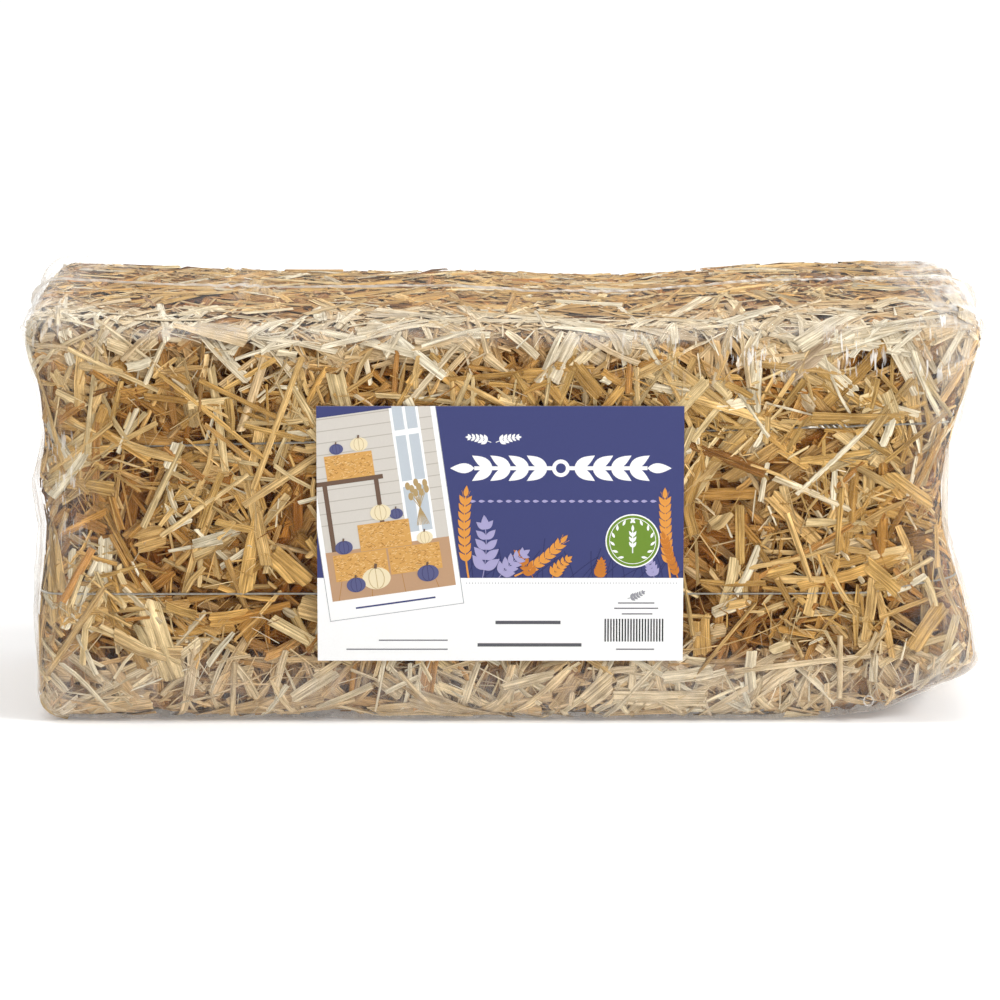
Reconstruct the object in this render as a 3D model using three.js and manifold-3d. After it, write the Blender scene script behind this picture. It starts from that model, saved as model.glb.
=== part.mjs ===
// A square straw bale for crafts and display: a pressed block of chopped barley straw, tied lengthwise
// with two galvanised wires, shrunk into clear film and labelled on its front.
// Millimetres: +X runs along the bale, -Y faces the front, +Z is up, and the origin is under its middle.

import {
  Box3,
  BoxGeometry,
  BufferAttribute,
  BufferGeometry,
  CatmullRomCurve3,
  CylinderGeometry,
  ExtrudeGeometry,
  Group,
  MathUtils,
  Mesh,
  MeshStandardMaterial,
  Path,
  Shape,
  Vector3,
} from 'three';
import { mergeVertices } from 'three/addons/utils/BufferGeometryUtils.js';
import Module from 'manifold-3d';

const wasm = await Module();
wasm.setup();

// ---- driving dimensions ----

const bale = { length: 488, depth: 199, height: 205, edgeRadius: 12.5 };
const grid = { cornerRows: 2, alongX: 14, alongY: 3, alongZ: 8 };
const top = { backIsHigher: 9, crown: 5, endsRise: 6, riseStart: 126, flare: 6.8, flareStart: 162 };
const topLumps = [
  { x: -37, width: 29, height: 2.5 },
  { x: 68, width: 35, height: -2 },
  { x: 160, width: 68, height: 3 },
];
const sides = { lump: 1.6, waveLength: 225, waveHeight: 165 };
// what the wires pull in at each end, as dents at a height above the floor
const endDents = {
  left: [{ z: 155, width: 17.5, depth: 6 }, { z: 95, width: 16.5, depth: 6.5 }],
  right: [{ z: 116, width: 50, depth: 16 }, { z: 18, width: 18, depth: -4 }],
};
const raisedCorner = { start: 180, run: 68, height: 23, fadeHeight: 116 };
const film = { gap: 1.2, wall: 0.5, endSlack: 1, dentShare: 0.92 };
const seam = {
  thickness: 0.8,
  height: 2,
  endHeight: 2.8,
  wander: 2.2,
  lowest: 22,
  stationStep: 22,
  cornerSteps: 4,
};
const vent = { radius: 2.5, z: 10.6, places: [{ x: 192, face: -1 }, { x: -190, face: 1 }] };
const wire = { radius: 0.6, depth: 0.95, sides: 6, gap: 0.35, stationStep: 40, cornerSteps: 4 };
const knot = { length: 16, turns: 2.5, coilRadius: 0.85, depth: 2.1, easing: 6, stepsPerTurn: 6 };
const ties = [
  { name: 'upper_tie_wire', z: 152, slope: 0.028, knotX: 174, face: 'front' },
  { name: 'lower_tie_wire', z: 69, slope: 0, knotX: 116, face: 'back' },
];
const label = { width: 191, height: 134.6, thickness: 0.4, bottom: 34, x: -1.8, gap: 0.3, calm: 33 };

const floorGap = film.gap + film.wall;
const halfLength = bale.length / 2;
const halfDepth = bale.depth / 2;

// ---- the shape that every layer of the bale shares ----

const bell = (distance, width) => Math.exp(-((distance / width) ** 2));
const ease = MathUtils.smoothstep;

// How far a point is from the calm, flat area that the label needs, as 0 inside it to 1 outside.
function awayFromLabel(point) {
  const overX = Math.abs(point.x - label.x) - label.width / 2;
  const overZ = Math.abs(point.z - label.bottom - label.height / 2) - label.height / 2;
  return ease(Math.max(overX, overZ), 2, label.calm);
}

// Pulls the ends in where the wires bite; slack is 0 for the straw and 1 for the film around it.
function dentEnds(point, slack) {
  const share = Math.abs(point.x) / halfLength;
  const dents = point.x < 0 ? endDents.left : endDents.right;
  let pull = 0;
  for (const dent of dents) {
    pull += dent.depth * bell(point.z - dent.z, dent.width);
  }
  pull *= 1 - slack * (1 - film.dentShare);
  pull -= top.flare * ease(point.z, top.flareStart, bale.height);
  point.x += Math.sign(point.x) * (slack * film.endSlack * share ** 6 - pull * share ** 4);
}

// Raises the top into a soft crown that is higher at the back and towards both ends.
function crownTop(point) {
  const across = MathUtils.clamp(point.y / halfDepth, -1, 1);
  const along = MathUtils.clamp(point.x / halfLength, -1, 1);
  let rise = (top.backIsHigher * (across + 1)) / 2 + top.crown * (1 - across ** 2);
  rise += top.endsRise * along ** 2;
  for (const lump of topLumps) {
    rise += lump.height * bell(point.x - lump.x, lump.width);
  }
  point.z += rise * ease(point.z, top.riseStart, bale.height) ** 2;
}

// Gives the long faces their shallow lumps, and leaves the label's area flat.
function lumpSides(point) {
  const along = Math.sin((point.x * 2 * Math.PI) / sides.waveLength + 0.7);
  const upward = Math.sin((point.z * 2 * Math.PI) / sides.waveHeight);
  const calm = point.y < 0 ? awayFromLabel(point) : 1;
  const outward = MathUtils.clamp(point.y / halfDepth, -1, 1);
  point.y += sides.lump * along * upward * calm * outward;
}

// Lifts the lower right corner of the front clear of the floor.
function raiseCorner(point) {
  const reach = ease(point.x, raisedCorner.start, raisedCorner.start + raisedCorner.run);
  const front = 1 - ease(point.y, -halfDepth * 0.75, halfDepth * 0.1);
  const low = Math.max(1 - point.z / raisedCorner.fadeHeight, 0);
  point.z += raisedCorner.height * reach * front * low;
}

// Takes a point of the plain rounded block to its place on the bale.
function shapeBale(point, slack) {
  lumpSides(point);
  dentEnds(point, slack);
  raiseCorner(point);
  crownTop(point);
  point.z += floorGap;
  return point;
}

// Grid lines along one side of the block: even in the flat middle, even in angle round both edges.
function gridLines(halfSize, radius, middleRows) {
  const flat = halfSize - radius;
  const lines = [];
  for (let row = grid.cornerRows; row > 0; row -= 1) {
    lines.push(-flat - radius * Math.tan((row / grid.cornerRows) * (Math.PI / 4)));
  }
  for (let row = 0; row <= middleRows; row += 1) {
    lines.push(MathUtils.lerp(-flat, flat, row / middleRows));
  }
  for (let row = 1; row <= grid.cornerRows; row += 1) {
    lines.push(flat + radius * Math.tan((row / grid.cornerRows) * (Math.PI / 4)));
  }
  return lines;
}

// Moves every vertex of a unit box to where place(along, across, up) puts it.
function reshapeBox(segments, place) {
  const geometry = new BoxGeometry(1, 1, 1, ...segments);
  const position = geometry.attributes.position;
  for (let i = 0; i < position.count; i += 1) {
    const steps = segments.map((count, axis) => Math.round((position.getComponent(i, axis) + 0.5) * count));
    position.setXYZ(i, ...place(...steps));
  }
  geometry.deleteAttribute('normal');
  geometry.deleteAttribute('uv');
  return mergeVertices(geometry);
}

// One layer of the bale, outset from the straw: a rounded block in the shared shape.
function baleLayer(outset, slack) {
  const radius = bale.edgeRadius + outset;
  const half = new Vector3(halfLength, halfDepth, bale.height / 2).addScalar(outset);
  const flat = half.clone().subScalar(radius);
  const lines = [
    gridLines(half.x, radius, grid.alongX),
    gridLines(half.y, radius, grid.alongY),
    gridLines(half.z, radius, grid.alongZ),
  ];
  const segments = lines.map((line) => line.length - 1);
  return reshapeBox(segments, (i, j, k) => {
    const point = new Vector3(lines[0][i], lines[1][j], lines[2][k]);
    const inner = point.clone().clamp(flat.clone().negate(), flat);
    point.sub(inner).normalize().multiplyScalar(radius).add(inner);
    point.z += bale.height / 2;
    return shapeBale(point, slack);
  });
}

// ---- joining and cutting ----

function toSolid(geometry) {
  const vertProperties = new Float32Array(geometry.attributes.position.array);
  const triVerts = new Uint32Array(geometry.index.array);
  return new wasm.Manifold(new wasm.Mesh({ numProp: 3, vertProperties, triVerts }));
}

function toGeometry(solid) {
  const mesh = solid.getMesh();
  const geometry = new BufferGeometry();
  geometry.setAttribute('position', new BufferAttribute(mesh.vertProperties, 3));
  geometry.setIndex(new BufferAttribute(mesh.triVerts, 1));
  return geometry;
}

// ---- tie wires ----

// The way once round the bale at a depth under the straw's faces, seen from above, as [x, y] pairs.
// It starts and ends at the knot and runs clockwise from the front; a knot at the back turns it round.
function wayRound(tie, depth) {
  const x = halfLength - depth;
  const y = halfDepth - depth;
  const radius = bale.edgeRadius - depth;
  const quarter = Math.PI / 2;
  const way = new Path();
  way.moveTo(tie.knotX - knot.length / 2 - knot.easing, -y);
  way.lineTo(-x + radius, -y);
  way.absarc(-x + radius, -y + radius, radius, -quarter, -2 * quarter, true);
  way.lineTo(-x, y - radius);
  way.absarc(-x + radius, y - radius, radius, 2 * quarter, quarter, true);
  way.lineTo(x - radius, y);
  way.absarc(x - radius, y - radius, radius, quarter, 0, true);
  way.lineTo(x, -y + radius);
  way.absarc(x - radius, -y + radius, radius, 0, -quarter, true);
  way.lineTo(tie.knotX + knot.length / 2 + knot.easing, -y);
  const turn = tie.face === 'front' ? 1 : -1;
  const points = way.curves.flatMap((piece, index) => {
    const steps = piece.isEllipseCurve ? wire.cornerSteps : Math.ceil(piece.getLength() / wire.stationStep);
    return piece.getPoints(steps).slice(index === 0 ? 0 : 1);
  });
  return points.map((point) => [point.x * turn, point.y * turn]);
}

const tieHeight = (tie, x) => tie.z - floorGap + tie.slope * x;

// One strand of the knot, from its cut end outwards; the other strand is half a turn away from it.
// It coils about the knot's axis and then eases back to the wire's own depth.
function knotStrand(tie, direction, phase) {
  const turn = tie.face === 'front' ? 1 : -1;
  const steps = Math.round(knot.turns * knot.stepsPerTurn);
  const points = [];
  for (let step = 0; step < steps; step += 1) {
    const along = direction * knot.length * (step / steps - 0.5);
    const angle = phase + (2 * Math.PI * knot.turns * along) / knot.length;
    const x = (tie.knotX + along) * turn;
    const y = (-halfDepth + knot.depth + knot.coilRadius * Math.cos(angle)) * turn;
    const z = tieHeight(tie, x) + knot.coilRadius * Math.sin(angle);
    points.push(new Vector3(x, y, z));
  }
  return points;
}

// A curve that passes through its points one by one, at one step for each of them.
class PointByPointCurve extends CatmullRomCurve3 {
  getPointAt(share, target) {
    return this.getPoint(share, target);
  }

  getTangentAt(share, target) {
    return this.getTangent(share, target);
  }
}

function tieWire(tie) {
  const round = wayRound(tie, wire.depth).map(([x, y]) => new Vector3(x, y, tieHeight(tie, x)));
  const first = knotStrand(tie, -1, 0);
  const last = knotStrand(tie, 1, Math.PI).reverse();
  const points = [...first, ...round, ...last].map((point) => shapeBale(point, 0));
  const section = new Shape();
  for (let side = 0; side < wire.sides; side += 1) {
    const angle = (side / wire.sides) * 2 * Math.PI;
    const step = side === 0 ? 'moveTo' : 'lineTo';
    section[step](wire.radius * Math.cos(angle), wire.radius * Math.sin(angle));
  }
  const geometry = new ExtrudeGeometry(section, {
    steps: points.length - 1,
    extrudePath: new PointByPointCurve(points),
  });
  geometry.deleteAttribute('normal');
  geometry.deleteAttribute('uv');
  return mergeVertices(geometry);
}

// The groove that a wire has pressed into the straw, open to the outside.
function tieGroove(tie) {
  const outset = 2;
  const clear = wire.radius + wire.gap;
  const floorLine = wayRound(tie, wire.depth + clear);
  const openLine = wayRound(tie, -outset);
  return reshapeBox([floorLine.length - 1, 1, 1], (station, out, up) => {
    const [x, y] = (out ? openLine : floorLine)[station];
    const z = tieHeight(tie, x) + (up ? clear : -clear);
    return shapeBale(new Vector3(x, y, z), 0);
  });
}

// The wider pocket round a knot, which also joins up the two ends of its groove.
function knotPocket(tie) {
  const outset = 2;
  const turn = tie.face === 'front' ? 1 : -1;
  const clear = knot.coilRadius + wire.radius + wire.gap;
  const reach = knot.length / 2 + knot.easing + 2;
  return reshapeBox([4, 1, 1], (station, out, up) => {
    const x = (tie.knotX + reach * (1 - station / 2)) * turn;
    const y = (-halfDepth + (out ? -outset : knot.depth + clear)) * turn;
    const z = tieHeight(tie, x) + (up ? clear : -clear);
    return shapeBale(new Vector3(x, y, z), 0);
  });
}

// ---- straw, film and label ----

function strawBlock() {
  let block = toSolid(baleLayer(0, 0));
  for (const tie of ties) {
    block = block.subtract(toSolid(tieGroove(tie)));
    block = block.subtract(toSolid(knotPocket(tie)));
  }
  return toGeometry(block);
}

// The middle line of the film from low on one end, over the top and down the other end, as [x, z].
function seamLine(outset, endOutset) {
  const x = halfLength + endOutset;
  const z = bale.height + outset;
  const radius = bale.edgeRadius + outset;
  const line = new Path();
  line.moveTo(-x, seam.lowest);
  line.lineTo(-x, z - radius);
  line.absarc(-x + radius, z - radius, radius, Math.PI, Math.PI / 2, true);
  line.lineTo(x - radius, z);
  line.absarc(x - radius, z - radius, radius, Math.PI / 2, 0, true);
  line.lineTo(x, seam.lowest);
  return line.curves.flatMap((piece, index) => {
    const steps = piece.isEllipseCurve ? seam.cornerSteps : Math.ceil(piece.getLength() / seam.stationStep);
    return piece.getPoints(steps).slice(index === 0 ? 0 : 1);
  });
}

// The heat-sealed fin that stands up along the top and down both ends.
function seamFin() {
  const root = seamLine(film.gap, film.gap);
  const tip = seamLine(floorGap + seam.height, floorGap + seam.endHeight);
  return reshapeBox([root.length - 1, 1, 1], (station, out, side) => {
    const at = (out ? tip : root)[station];
    const wander = seam.wander * Math.sin(at.x / 31 + at.y / 47);
    const y = wander + (side ? -1 : 1) * (seam.thickness / 2);
    return shapeBale(new Vector3(at.x, y, at.y), 1);
  });
}

// A round pin that punches one vent hole through the film of the front (-1) or the back (1).
function ventPin(place) {
  const pin = new CylinderGeometry(vent.radius, vent.radius, 12, 12);
  pin.deleteAttribute('normal');
  pin.deleteAttribute('uv');
  pin.translate(place.x, place.face * (halfDepth + floorGap), vent.z + floorGap);
  return mergeVertices(pin);
}

function filmWrap() {
  let wrap = toSolid(baleLayer(floorGap, 1));
  wrap = wrap.add(toSolid(seamFin()));
  wrap = wrap.subtract(toSolid(baleLayer(film.gap, 1)));
  for (const place of vent.places) {
    wrap = wrap.subtract(toSolid(ventPin(place)));
  }
  return toGeometry(wrap);
}

function frontLabel() {
  const plate = new BoxGeometry(label.width, label.thickness, label.height);
  const y = -(halfDepth + floorGap + label.gap + label.thickness / 2);
  plate.deleteAttribute('normal');
  plate.deleteAttribute('uv');
  plate.translate(label.x, y, label.bottom + label.height / 2);
  return mergeVertices(plate);
}

// ---- the bale ----

const finishes = {
  straw: { color: 0xb9975f, roughness: 0.8, metalness: 0 },
  wire: { color: 0x9a9a98, roughness: 0.35, metalness: 1 },
  film: { color: 0xeef0f0, roughness: 0.15, metalness: 0, transparent: true, opacity: 0.3 },
  label: { color: 0x4a4a7c, roughness: 0.45, metalness: 0 },
};

function piece(name, geometry, finish) {
  geometry.computeVertexNormals();
  const mesh = new Mesh(geometry, new MeshStandardMaterial(finish));
  mesh.name = name;
  return mesh;
}

const group = new Group();
group.add(piece('straw_block', strawBlock(), finishes.straw));
for (const tie of ties) {
  group.add(piece(tie.name, tieWire(tie), finishes.wire));
}
group.add(piece('film_wrap', filmWrap(), finishes.film));
group.add(piece('label', frontLabel(), finishes.label));

// Stands the bale over the origin: the middle of its box in X and Y, its lowest face at Z = 0.
const box = new Box3().setFromObject(group, true);
const middle = box.getCenter(new Vector3());
group.position.set(-middle.x, -middle.y, -box.min.z);

export default group;
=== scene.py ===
import math

import bpy
import numpy as np
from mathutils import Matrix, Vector
from mathutils.bvhtree import BVHTree
from mathutils.geometry import tessellate_polygon


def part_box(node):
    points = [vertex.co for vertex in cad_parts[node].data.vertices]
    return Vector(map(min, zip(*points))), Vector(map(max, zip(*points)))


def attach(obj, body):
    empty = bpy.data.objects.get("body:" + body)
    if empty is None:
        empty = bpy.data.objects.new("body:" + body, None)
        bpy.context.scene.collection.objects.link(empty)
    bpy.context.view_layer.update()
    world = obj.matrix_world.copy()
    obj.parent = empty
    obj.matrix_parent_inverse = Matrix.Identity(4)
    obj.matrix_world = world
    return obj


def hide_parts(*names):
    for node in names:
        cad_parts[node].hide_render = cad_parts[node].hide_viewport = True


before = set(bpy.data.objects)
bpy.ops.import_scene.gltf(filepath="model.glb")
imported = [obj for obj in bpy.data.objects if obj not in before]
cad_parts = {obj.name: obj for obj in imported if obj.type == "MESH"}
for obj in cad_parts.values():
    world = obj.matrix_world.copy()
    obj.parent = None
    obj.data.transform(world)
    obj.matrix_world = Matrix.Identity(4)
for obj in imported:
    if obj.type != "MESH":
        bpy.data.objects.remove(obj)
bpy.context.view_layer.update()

mm = 0.001
draw = np.random.default_rng(17)  # every random choice comes from here, so each run is the same

blockLow, blockHigh = (np.array(corner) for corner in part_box("straw_block"))
filmLow, filmHigh = (np.array(corner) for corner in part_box("film_wrap"))
labelLow, labelHigh = (np.array(corner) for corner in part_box("label"))


def addMesh(name, points, faceSets, material, smooth=False):
    # faceSets is a list of arrays, each with faces of one corner count
    mesh = bpy.data.meshes.new(name)
    mesh.vertices.add(len(points))
    mesh.vertices.foreach_set("co", np.asarray(points, np.float32).ravel())
    corners = np.concatenate([faces.ravel() for faces in faceSets]).astype(np.int32)
    sizes = np.concatenate([np.full(len(faces), faces.shape[1]) for faces in faceSets])
    starts = np.concatenate([[0], np.cumsum(sizes)[:-1]]).astype(np.int32)
    mesh.loops.add(len(corners))
    mesh.loops.foreach_set("vertex_index", corners)
    mesh.polygons.add(len(sizes))
    mesh.polygons.foreach_set("loop_start", starts)
    mesh.update(calc_edges=True)
    mesh.validate()
    mesh.polygons.foreach_set("use_smooth", np.full(len(mesh.polygons), smooth))
    mesh.materials.append(material)
    piece = bpy.data.objects.new(name, mesh)
    bpy.context.scene.collection.objects.link(piece)
    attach(piece, "root")
    return piece


def addColours(piece, name, colours):
    layer = piece.data.color_attributes.new(name, "FLOAT_COLOR", "POINT")
    values = np.ones((len(colours), 4), np.float32)
    values[:, :3] = colours
    layer.data.foreach_set("color", values.ravel())


def addVectors(piece, name, vectors):
    layer = piece.data.attributes.new(name, "FLOAT_VECTOR", "POINT")
    layer.data.foreach_set("vector", np.asarray(vectors, np.float32).ravel())


def addValues(piece, name, numbers):
    layer = piece.data.attributes.new(name, "FLOAT", "POINT")
    layer.data.foreach_set("value", np.asarray(numbers, np.float32))


def linear(hexColour):
    parts = [int(hexColour[i:i + 2], 16) / 255 for i in (1, 3, 5)]
    return [p / 12.92 if p < 0.04045 else ((p + 0.055) / 1.055) ** 2.4 for p in parts]


def unit(vectors):
    return vectors / np.maximum(np.linalg.norm(vectors, axis=-1, keepdims=True), 1e-12)


def eased(values, low, high):
    share = np.clip((values - low) / (high - low), 0, 1)
    return share * share * (3 - 2 * share)


def makeRipple(wavelength, waves=12, stretch=(1, 1, 1)):
    # smooth random hills over space, about -1 to 1; stretch makes them longer along an axis
    headings = unit(draw.normal(size=(waves, 3))) / np.array(stretch)
    pitch = 2 * math.pi / (wavelength * draw.uniform(0.7, 1.5, (waves, 1)))
    phases = draw.uniform(0, 2 * math.pi, waves)
    return lambda points: np.cos(points @ (headings * pitch).T + phases).sum(axis=-1) / math.sqrt(waves)


def newMaterial(name):
    material = bpy.data.materials.new(name)
    material.use_nodes = True
    material.node_tree.nodes.clear()
    return material, material.node_tree


def addNode(tree, kind, settings=None, **inputs):
    # inputs are named by their sockets, or at0, at1 and at2 by their order
    node = tree.nodes.new("ShaderNode" + kind)
    for key, value in (settings or {}).items():
        setattr(node, key, value)
    for key, value in inputs.items():
        plain = key.replace("_", " ")
        socket = node.inputs[int(plain[2:]) if plain.startswith("at") else plain]
        if isinstance(value, bpy.types.NodeSocket):
            tree.links.new(value, socket)
        else:
            socket.default_value = value
    return node


def objectPlace(tree):
    return addNode(tree, "TexCoord").outputs["Object"]


def attributeOf(tree, name, output="Fac"):
    return addNode(tree, "Attribute", {"attribute_name": name}).outputs[output]


def stretched(tree, place, scale):
    return addNode(tree, "Mapping", Vector=place, Scale=scale).outputs["Vector"]


def noiseAt(tree, place, scale, detail, roughness=0.5, distortion=0.0):
    return addNode(tree, "TexNoise", Vector=place, Scale=scale, Detail=detail, Roughness=roughness,
                   Distortion=distortion).outputs["Fac"]


def ranged(tree, value, low, high, toLow=0.0, toHigh=1.0):
    return addNode(tree, "MapRange", Value=value, From_Min=low, From_Max=high, To_Min=toLow,
                   To_Max=toHigh).outputs[0]


def maths(tree, operation, one, other, third=0.0, clamped=False):
    return addNode(tree, "Math", {"operation": operation, "use_clamp": clamped}, at0=one, at1=other,
                   at2=third).outputs[0]


def mixed(tree, share, low, high):
    return addNode(tree, "MixRGB", Fac=share, Color1=low, Color2=high).outputs[0]


def bumpOf(tree, height, strength, distance):
    return addNode(tree, "Bump", Strength=strength, Distance=distance, Height=height).outputs["Normal"]


def setSurface(tree, kind, **inputs):
    surface = addNode(tree, kind, **inputs)
    output = addNode(tree, "OutputMaterial")
    tree.links.new(surface.outputs[0], output.inputs["Surface"])


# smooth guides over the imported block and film
guideShape = {
    "edgeRadius": 12.5 * mm,
    "edgeRows": 3,
    "rayStart": 45 * mm,  # how far inside every face the rays begin
    "rayReach": 150 * mm,
    "pull": 0.5,  # each smoothing step moves a point this share of the way to its neighbours' middle
    "push": -0.52,
    "crown": 18 * mm,  # how much lower the front edge of the top is than its crown
}


def gridLines(low, high, spacing):
    radius, rows = guideShape["edgeRadius"], guideShape["edgeRows"]
    middle, half = (low + high) / 2, (high - low) / 2
    flat = half - radius
    steps = max(int(round(2 * flat / spacing)), 2)
    angles = np.arange(1, rows + 1) / rows * math.pi / 4
    edge = flat + radius * np.tan(angles)
    return middle + np.concatenate([-edge[::-1], np.linspace(-flat, flat, steps + 1), edge])


def boxShell(counts):
    # the outside of a block of counts cells, as grid indices and faces that look outwards
    quads = []
    for axis in range(3):
        u, v = [a for a in range(3) if a != axis]
        for side in (0, 1):
            i, j = np.meshgrid(np.arange(counts[u]), np.arange(counts[v]), indexing="ij")
            quad = np.zeros(i.shape + (4, 3), int)
            for corner, (du, dv) in enumerate(((0, 0), (1, 0), (1, 1), (0, 1))):
                quad[..., corner, axis] = side * counts[axis]
                quad[..., corner, u] = i + du
                quad[..., corner, v] = j + dv
            if (side == 1) == (axis == 1):
                quad = quad[..., ::-1, :]
            quads.append(quad.reshape(-1, 4, 3))
    corners = np.concatenate(quads)
    cells, index = np.unique(corners.reshape(-1, 3), axis=0, return_inverse=True)
    return cells, index.reshape(-1, 4)


def smoothed(points, quads, passes):
    # each pass pulls in and then pushes out again, so that the shape doesn't shrink
    pairs = np.concatenate([quads, np.roll(quads, -1, axis=1)], axis=1).reshape(-1, 2, 4)
    one, other = pairs[:, 0].ravel(), pairs[:, 1].ravel()
    count = np.bincount(one, minlength=len(points)) + np.bincount(other, minlength=len(points))
    for step in range(2 * passes):
        total = np.zeros_like(points)
        np.add.at(total, one, points[other])
        np.add.at(total, other, points[one])
        share = guideShape["pull"] if step % 2 == 0 else guideShape["push"]
        points = points + share * (total / count[:, None] - points)
    return points


def pointNormals(points, quads):
    across = points[quads[:, 2]] - points[quads[:, 0]]
    along = points[quads[:, 3]] - points[quads[:, 1]]
    flat = np.cross(across, along)
    total = np.zeros_like(points)
    for corner in range(4):
        np.add.at(total, quads[:, corner], flat)
    return unit(total)


def guideOf(nodeName, low, high, spacing, passes):
    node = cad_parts[nodeName].data
    high = high - [0, 0, guideShape["crown"]]
    tree = BVHTree.FromPolygons([v.co for v in node.vertices], [p.vertices for p in node.polygons])
    lines = [gridLines(low[a], high[a], spacing) for a in range(3)]
    cells, quads = boxShell([len(line) - 1 for line in lines])
    points = np.stack([lines[a][cells[:, a]] for a in range(3)], axis=1)
    inner = np.clip(points, low + guideShape["edgeRadius"], high - guideShape["edgeRadius"])
    out = unit(points - inner)
    points = inner + out * guideShape["edgeRadius"]
    starts = np.clip(points, low + guideShape["rayStart"], high - guideShape["rayStart"])
    for i, (start, direction) in enumerate(zip(starts, unit(points - starts))):
        hit = tree.ray_cast(Vector(start), Vector(direction), guideShape["rayReach"])[0]
        if hit is not None:
            points[i] = hit
    points = smoothed(points, quads, passes)
    return points, quads, pointNormals(points, quads)


straw = {
    "perSquareMetre": 94000,
    "walkRings": 5,
    "kinds": {  # rings when flat and when bent over an edge; width and length in mm as middle and spread
        "plank": {"share": 0.085, "rings": (3, 5), "width": (6.0, 0.38), "length": (29, 0.45), "bow": 0.03,
                  "roll": 0.13, "taper": 0.93, "crown": (-0.02, 0.08), "thickness": (0.30, 0.55),
                  "slant": 0.16, "fray": 0.13, "ridge": 0.035},
        "split": {"share": 0.28, "rings": (3, 5), "width": (3.0, 0.42), "length": (22, 0.5), "bow": 0.06,
                  "roll": 0.24, "taper": 0.84, "crown": (-0.04, 0.16), "thickness": (0.25, 0.45),
                  "slant": 0.25, "fray": 0.14, "ridge": 0.05},
        "stem": {"share": 0.045, "rings": (3, 5), "width": (3.0, 0.2), "length": (37, 0.38), "bow": 0.006,
                 "roll": 0.18, "taper": 0.92, "crown": (0.22, 0.40), "thickness": (0.35, 0.6),
                 "slant": 0.14, "fray": 0.05, "ridge": 0.0},
        "shred": {"share": 0.27, "rings": (2, 3), "width": (1.3, 0.45), "length": (13, 0.5), "bow": 0.03,
                  "roll": 0.5, "taper": 0.5, "crown": (0, 0), "thickness": (0.3, 0.6),
                  "slant": 0.5, "fray": 0.2, "ridge": 0.0},
        "splinter": {"share": 0.24, "rings": (2, 3), "width": (0.5, 0.4), "length": (9, 0.5), "bow": 0.08,
                     "roll": 0.6, "taper": 0.4, "crown": (0, 0), "thickness": (0.2, 0.4),
                     "slant": 0.5, "fray": 0.2, "ridge": 0.0},
        "fibre": {"share": 0.06, "rings": (5, 5), "width": (0.5, 0.3), "length": (20, 0.45), "bow": 0.20,
                  "roll": 0.5, "taper": 0.4, "crown": (0, 0), "thickness": (0.25, 0.4),
                  "slant": 0.3, "fray": 0.1, "ridge": 0.0},
        "leaf": {"share": 0.02, "rings": (3, 5), "width": (4.8, 0.25), "length": (34, 0.35), "bow": 0.05,
                 "roll": 0.25, "taper": 0.35, "crown": (-0.12, 0.15), "thickness": (0.18, 0.3),
                 "slant": 0.4, "fray": 0.1, "ridge": 0.02},
    },
    "sides": {  # across the width from -0.5 to 0.5, whether it is on the underside, and the ridge there
        "plank": [(-0.5, 0, 0), (-0.31, 0, 1), (-0.11, 0, -1), (0.1, 0, 1), (0.29, 0, -1), (0.5, 0, 0),
                  (0.2, 1, 0), (-0.2, 1, 0)],
        "split": [(-0.5, 0, 0), (-0.18, 0, 1), (0.16, 0, -1), (0.5, 0, 0), (0, 1, 0)],
        "stem": [(-0.5, 0, 0), (-0.34, 0, 0), (0, 0, 0), (0.34, 0, 0), (0.5, 0, 0), (0, 1, 0)],
        **dict.fromkeys(("shred", "splinter", "fibre"), [(-0.5, 0, 0), (0.5, 0, 0), (0, 1, 0)]),
        "leaf": [(-0.5, 0, 0), (-0.25, 0, 1), (0, 0, -1), (0.25, 0, 1), (0.5, 0, 0),
                 (0.2, 1, 0), (-0.2, 1, 0)],
    },
    "longest": 82 * mm,
    "layers": [(0.34, -0.55, 0.9), (0.36, 0.9, 3.8), (0.30, 3.8, 7.2)],  # share, then depth in mm
    "coreDepth": 7.4 * mm,
    # painted shade: the core behind the gaps is dark brown so that they read as shadow
    "coreShadeColours": [linear(colour) + [1] for colour in ("#4F2A0C", "#96602A")],
    "hollow": {"size": 46 * mm, "depth": 5.5 * mm, "rise": (0.35, 1.25), "bridged": 0.22},
    "shortest": 5 * mm,
    "bundle": {"share": 0.55, "size": 42 * mm, "turn": 2.4, "spread": 0.3},  # straws alongside others
    "underLabel": {"inset": 18 * mm, "share": 0.35},  # fewer straws where the label covers them
    "bend": 0.95,  # a straw whose ups agree less than this lies over an edge
    "pressed": 0.55,  # how much flatter the straws of the top lie
    "regionShare": {"front": 1.0, "back": 0.55, "top": 0.95, "bottom": 0.32, "ends": 0.8},
    "tones": [  # colour and share
        ("#DDB97C", 0.28), ("#D2AA67", 0.24), ("#E8CE9B", 0.21), ("#C89D5A", 0.12),
        ("#F8EBCD", 0.10), ("#B8864A", 0.04), ("#9C6C38", 0.01),
    ],
    "toneSpread": (0.05, 0.15),  # middle and spread of the brightness, as powers of e
    "brightest": 0.93,
    "depthShadeTint": (0.36, 0.15, 0.04),  # painted shade: what is left of a straw's colour at the core, darkening straws the deeper they lie
    "pale": {  # painted light: how pale the painted highlight on the upper front edge and the painted floor reflection at the foot make the straws, and where each begins and ends
        "tone": np.array(linear("#FBF1D9")), "size": 30 * mm,
        "edge": 1.0, "edgeHeight": (184 * mm, 200 * mm), "edgeDepth": (-84 * mm, -38 * mm),
        "foot": 0.8, "footHeight": (20 * mm, 50 * mm), "footDepth": (85 * mm, 95 * mm),
    },
    "loose": {  # how unevenly each straw lies, in mm where it is a length
        "twist": 0.2, "dive": 0.8, "sag": (-0.2, 0.6), "proud": 0.6, "ringWidth": 0.06, "widest": 1.04,
        "ridge": (0.3, 1.2), "tone": 0.07,
    },
}


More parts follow.
